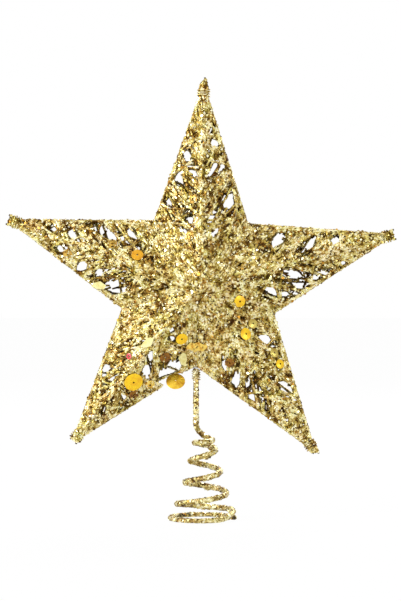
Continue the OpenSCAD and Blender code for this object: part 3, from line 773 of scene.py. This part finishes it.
CREAM, GOLD, BROWN, PAINTED_SHADE_INSIDE = range(4)
# The fourth coat, the brown one dimmed, is painted shade for the strands inside the net.
lacing_coats = (glitter_gold("glitter_on_lacing_cream", 0.0011, 0.17),
                glitter_gold("glitter_on_lacing_gold", 0.0010, 0.02),
                glitter_gold("glitter_on_lacing_brown", 0.0010, -0.20),
                glitter_gold("glitter_painted_shade_inside", 0.0010, -0.20, 0.7))
COAT_RADII = 0.00062, 0.00056, 0.00055, 0.00050
# How much of each arm's net is cream, gold and brown: the lower arms are the palest, a painted light
# that makes up for the lamps reaching them less.
GROUND_SHARES = ((5, 5, 3), (5, 5, 3), (7, 4, 1), (7, 4, 1), (5, 5, 3))

def share_out(nets, rows, shares):
    """Gives each row a coat by lot: cream, gold or brown, in these shares."""
    for row in rows:
        nets[random.choices((CREAM, GOLD, BROWN), shares)[0]].append(row)

for back, face in ((False, "front"), (True, "back")):
    for k, arm in enumerate(ARMS):
        random.seed(40 + k + 10*back)
        name = f"glitter_{face}_lacing_{arm}"
        nets = [], [], [], []
        for side in (-1, 1):
            # The body of the net; the strands that lie on top of it, mostly cream as painted light on the top
            # of the net; its inside strands, in the dimmed coat of painted shade; and a few strands that
            # cross the gaps.
            share_out(nets, laced_facet(k, side, back, (26, 100, 24), (0.05, 0.3)), GROUND_SHARES[k])
            share_out(nets, laced_facet(k, side, back, (40, 16, 14), (0.25, 0.4)), (7, 3, 1))
            nets[PAINTED_SHADE_INSIDE].extend(laced_facet(k, side, back, (26, 80, 20), (-0.2, 0.0)))
            share_out(nets, laced_facet(k, side, back, (9, 8, 0), (-0.1, 0.1), 0.3), (6, 2, 3))
            if not back:
                for arm_at, side_at, start, end, coat in LOOSE_STRANDS:
                    if (arm_at, side_at) == (k, side):
                        nets[coat].append(strand(k, side, back, start, end, 0.4, 6))
            share_out(nets, wraps(k, side, back, 28), (4, 5, 4))
            share_out(nets, tip_ends_between(k, side, back, 6), (4, 5, 3))
            nets[GOLD].append(edge_run(k, side, back))
        pieces = []
        for net, coat, radius in zip(nets, lacing_coats, COAT_RADII):
            pieces.append(wire_runs(name, net, radius, 0.20, 1))
            pieces[-1].data.materials.append(coat)
        chosen(pieces[0])
        for piece in pieces:
            piece.select_set(True)
        bpy.ops.object.join()
        net = sprinkle(pieces[0], 0.24, (0.9, 1.7), 50 + k, 0.5, 1 if back else -1)
        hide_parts(f"{face}_lacing_{arm}")
        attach(net, "star")

# The knots: where all the wires meet in the middle of each side, a lump of wire ends, glue and
# glitter.
KNOT_R, KNOT_Y = 0.0050, 0.0200
for way, node in ((-1, "front_hub"), (1, "back_hub")):
    place = MIDDLE_X/1000, way*KNOT_Y, MIDDLE_Z/1000
    bpy.ops.object.select_all(action="DESELECT")
    bpy.ops.mesh.primitive_uv_sphere_add(segments=24, ring_count=12, radius=KNOT_R, location=place)
    knot = bpy.context.object
    knot.name = "glitter_" + node
    knot.scale = (1, 0.36, 1)
    bpy.ops.object.transform_apply(location=True, rotation=True, scale=True)
    in_order(knot)
    bpy.ops.object.mode_set(mode="EDIT")
    bpy.ops.mesh.select_all(action="SELECT")
    bpy.ops.transform.vertex_random(offset=0.0004, seed=4)
    bpy.ops.object.mode_set(mode="OBJECT")
    knot.data.materials.append(lacing_coats[GOLD])
    sprinkle(knot, 0.9, (0.8, 1.6), 71, 0.6)
    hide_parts(node)
    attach(knot, "star")

# The sequins: discs punched from thin lacquered film, dished, with a hole for the thread. Glitter
# sticks to some. The creased one over the bottom spoke was bent before the glue set.
SEQUIN_R, LARGE_R, FILM = 0.003, 0.0048, 0.00015
# The height over a facet, in mm, at which a piece lies on the net.
LIES_AT = 1.1

def sequin_film(name, shade, deep, clear, metallic=0.35, gloss_to=0.16, specular=0.5):
    """Coloured film: of a deep tint and duller in cloudy patches, glossy, and clear by a share."""
    film, tree, gloss = new_finish(name, {"Metallic": metallic, "Transmission Weight": clear, "IOR": 1.4,
                                          "Specular IOR Level": specular})
    cloud = clouds(tree, 420, 3)
    tree.links.new(tinted(tree, cloud, ((0.36, deep), (0.56, shade))), gloss.inputs["Base Color"])
    tree.links.new(ranged(tree, cloud, gloss_to + 0.22, gloss_to), gloss.inputs["Roughness"])
    roughen(tree, gloss, cloud, 0.25, 0.0002)
    return film

films = {"yellow": sequin_film("yellow_film", (0.93, 0.60, 0.01), (0.84, 0.46, 0.01), 0.0, 0.2),
         "orange": sequin_film("orange_film", (0.84, 0.42, 0.02), (0.66, 0.28, 0.01), 0.1),
         "pale": sequin_film("pale_yellow_film", (0.70, 0.56, 0.13), (0.48, 0.32, 0.05), 0.3),
         "amber": sequin_film("amber_film", (0.70, 0.44, 0.07), (0.42, 0.20, 0.02), 0.1),
         "brown": sequin_film("brown_film", (0.30, 0.12, 0.01), (0.06, 0.018, 0.003), 0.2),
         "red": sequin_film("red_film", (0.55, 0.03, 0.05), (0.40, 0.02, 0.03), 0.0, 0.2),
         "golden": sequin_film("golden_film", (0.84, 0.60, 0.12), (0.55, 0.25, 0.01), 0.0, 0.4),
         "honey": sequin_film("honey_film", (0.88, 0.58, 0.05), (0.58, 0.28, 0.01), 0.0, 0.5)}

def lying(k, side, s, t, lift):
    """Where a piece lies over a facet: its own x across the facet, y out along the ridge, z up."""
    here = on_facet(k, side, False, s, t, lift)
    along = (on_facet(k, side, False, 0.5, 0) - on_facet(k, side, False, 0, 0)).normalized()
    out = (on_facet(k, side, False, s, t, lift + 1) - here).normalized()
    return Matrix.Translation(here) @ Matrix((along.cross(out), along, out)).transposed().to_4x4()

def dished_disc(name, radius, place, film, wide=1.0, high=1.0, dish=0.00030, glitter=0.0,
                crease=0.0, hole=0.0005):
    """A disc with a hole, cut from film and dished, laid in its place. crease is the height of the
    creases across it, and glitter the flakes that stick to it, to the mm2."""
    bpy.ops.object.select_all(action="DESELECT")
    bpy.ops.mesh.primitive_circle_add(vertices=32, radius=radius, location=(0, 0, FILM))
    disc = bpy.context.object
    disc.name = name
    bpy.ops.object.mode_set(mode="EDIT")
    bpy.ops.mesh.select_all(action="SELECT")
    size = radius
    for share, rise in ((0.94, 0.15), (0.70, 0.35), (0.42, 0.35), (hole/radius, 0.15)):
        bpy.ops.mesh.extrude_region_move(TRANSFORM_OT_translate={"value": (0, 0, dish*rise)})
        factor = share*radius/size
        bpy.ops.transform.resize(value=(factor, factor, 1), center_override=(0, 0, 0))
        size = share*radius
    bpy.ops.mesh.select_all(action="SELECT")
    bpy.ops.transform.resize(value=(wide, high, 1), center_override=(0, 0, 0))
    bpy.ops.object.mode_set(mode="OBJECT")
    shell = disc.modifiers.new("film", "SOLIDIFY")
    shell.thickness = FILM
    bpy.ops.object.modifier_apply(modifier=shell.name)
    bpy.ops.object.shade_smooth_by_angle(angle=math.radians(40))
    disc.data.materials.append(film)
    for point in disc.data.vertices:
        x, y = point.co.x, point.co.y
        point.co.z += crease*(math.sin(1900*x + 700*y) + 0.6*math.sin(3100*x - 900*y))/2
        point.co.y += 0.9*crease*math.sin(1500*x)
    disc.matrix_world = place @ disc.matrix_world
    bpy.ops.object.transform_apply()
    in_order(disc)
    if glitter:
        sprinkle(disc, glitter, (0.7, 1.4), 90, 0.4)
    return disc

def joined(name, pieces, node):
    """Makes one piece of the small ones that share a CAD node."""
    chosen(pieces[0])
    for piece in pieces:
        piece.select_set(True)
    bpy.ops.object.join()
    pieces[0].name = name
    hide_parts(node)
    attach(pieces[0], "star")

SPOKE_LENGTH = 44.27

def over_spoke(k, share, lift):
    """Where a piece lies over the front spoke of a valley: its own x across, y out, z up."""
    reach = share*SPOKE_LENGTH
    turn = math.radians(valley_turn(k))
    c, s = math.cos(spoke_tilt), math.sin(spoke_tilt)
    here = star_place((0, -DEPTH + reach*s - lift*c, reach*c + lift*s), valley_turn(k))
    side = Vector((math.cos(turn), 0, -math.sin(turn)))
    along = Vector((c*math.sin(turn), s, c*math.cos(turn)))
    return Matrix.Translation(here) @ Matrix((side, along, side.cross(along))).transposed().to_4x4()

# Arm, side, shares of the way out and across, size, film, and flakes of glitter to the mm2.
YELLOW_SEQUINS = (
    (3, -1, 0.14, 0.45, 1, "yellow", 0), (2, -1, 0.27, 0.29, 1, "yellow", 0.05),
    (2, -1, 0.16, 0.56, 0.83, "pale", 0.05), (4, 1, 0.30, 0.24, 1, "orange", 0),
    (2, -1, 0.43, 0.76, 0.77, "yellow", 0.1), (2, -1, 0.35, 0.73, 0.77, "pale", 0.1))
AMBER_SEQUINS = (
    (0, 1, 0.44, 0.62, 0.8, "amber", 0.9), (0, -1, 0.41, 0.23, 0.8, "amber", 0.9),
    (0, -1, 0.20, 0.24, 0.75, "amber", 0.9), (4, 1, 0.43, 0.37, 0.85, "amber", 0.8),
    (4, -1, 0.63, 0.60, 0.8, "amber", 0.8), (2, 1, 0.30, 0.51, 0.85, "brown", 0.3),
    (3, -1, 0.28, 0.50, 0.9, "brown", 0.15), (3, -1, 0.41, 0.78, 0.8, "golden", 0.5),
    (3, -1, 0.55, 0.72, 0.8, "brown", 0.5))

def strewn(name, table):
    """The sequins of a table, each where it lies."""
    return [dished_disc(name, SEQUIN_R*size, lying(k, side, s, t, LIES_AT), films[kind], glitter=glitter)
            for k, side, s, t, size, kind, glitter in table]

discs = strewn("yellow_sequin", YELLOW_SEQUINS)
discs.append(dished_disc("yellow_sequin", SEQUIN_R, over_spoke(1, 0.53, 1.75), films["yellow"], glitter=0.05))
joined("dished_yellow_sequins", discs, "yellow_sequins")
discs = strewn("amber_sequin", AMBER_SEQUINS)
discs.append(dished_disc("creased_sequin", SEQUIN_R, over_spoke(2, 0.74, 2.49), films["golden"], 1.8, 0.8,
                         glitter=0.10, crease=0.0005))
joined("dished_amber_sequins", discs, "amber_sequins")
# The hanging one touches the underside of the bottom edge wire with its rim.
wire_corner = star_place((0, 0, VALLEY), valley_turn(2))
wire_knee = star_place((-APART, 0, KNEE), arm_turn(3))
hanging = wire_corner.lerp(wire_knee, 0.18) + Vector((0, -0.00425, -0.00211))
hangs = Matrix.Translation(hanging) @ Matrix.Rotation(math.radians(52), 4, "X")
lies = lying(3, -1, 0.55, 0.36, LIES_AT)
discs = [dished_disc("large_sequin", LARGE_R, lies, films["yellow"], dish=0.0004),
         dished_disc("hanging_sequin", LARGE_R, hangs, films["honey"], dish=0.0009, hole=0.00022)]
joined("dished_large_sequins", discs, "large_sequins")

# The foil flakes: three snips of thin pale gold foil, curled a little, and one tiny red disc, all
# caught in the glue.
FOIL, SNIP_LENGTH, CURL = 0.00012, 0.0081, 25
SNIP_OUTLINE = ((-0.5, -0.06), (-0.3, -0.26), (0.12, -0.2), (0.5, 0.04), (0.32, 0.24), (-0.2, 0.3))

def bearing(x, y):
    return math.atan2(y, x)

foil = sequin_film("pale_foil", (0.78, 0.72, 0.34), (0.68, 0.60, 0.22), 0.0, 0.0, 0.45, 0.25)
snips = []
random.seed(8)
for k, side, s, t, turn in ((3, 1, 0.37, 0.12, 60), (3, -1, 0.12, 0.78, 35), (4, -1, 0.27, 0.92, 60)):
    bpy.ops.object.select_all(action="DESELECT")
    bpy.ops.mesh.primitive_circle_add(vertices=6, radius=0.004, fill_type="TRIFAN", location=(0, 0, 0))
    snip = bpy.context.object
    c, d = math.cos(math.radians(turn)), math.sin(math.radians(turn))
    rim = sorted((point for point in snip.data.vertices if point.co.length > 0.001),
                 key=lambda point: bearing(point.co.x, point.co.y))
    for point, (x, y) in zip(rim, sorted(SNIP_OUTLINE, key=lambda corner: bearing(*corner))):
        point.co = SNIP_LENGTH*Vector((x, y, 0))
    bpy.ops.object.mode_set(mode="EDIT")
    bpy.ops.mesh.select_all(action="SELECT")
    bpy.ops.mesh.subdivide(number_cuts=3)
    bpy.ops.object.mode_set(mode="OBJECT")
    for point in snip.data.vertices:
        x, y = c*point.co.x - d*point.co.y, d*point.co.x + c*point.co.y
        point.co = (side*x, y, 0.0001 + CURL*x*x + random.uniform(0, 0.00006))
    bpy.ops.object.mode_set(mode="EDIT")
    bpy.ops.mesh.select_all(action="SELECT")
    bpy.ops.mesh.normals_make_consistent(inside=False)
    bpy.ops.object.mode_set(mode="OBJECT")
    shell = snip.modifiers.new("foil", "SOLIDIFY")
    shell.thickness = FOIL
    bpy.ops.object.modifier_apply(modifier=shell.name)
    bpy.ops.object.shade_smooth_by_angle(angle=math.radians(30))
    snip.data.materials.append(foil)
    snip.matrix_world = lying(k, side, s, t, LIES_AT)
    bpy.ops.object.transform_apply()
    in_order(snip)
    snips.append(snip)
stray = dished_disc("stray_red_flake", 0.0013, lying(3, 1, 0.45, 0.34, 1.2), films["red"], 1.2, 1.0, 0.0001)
joined("curled_foil_flakes", snips + [stray], "foil_flakes")

# The loose flake has been copied everywhere and goes.
bpy.data.objects.remove(flake)
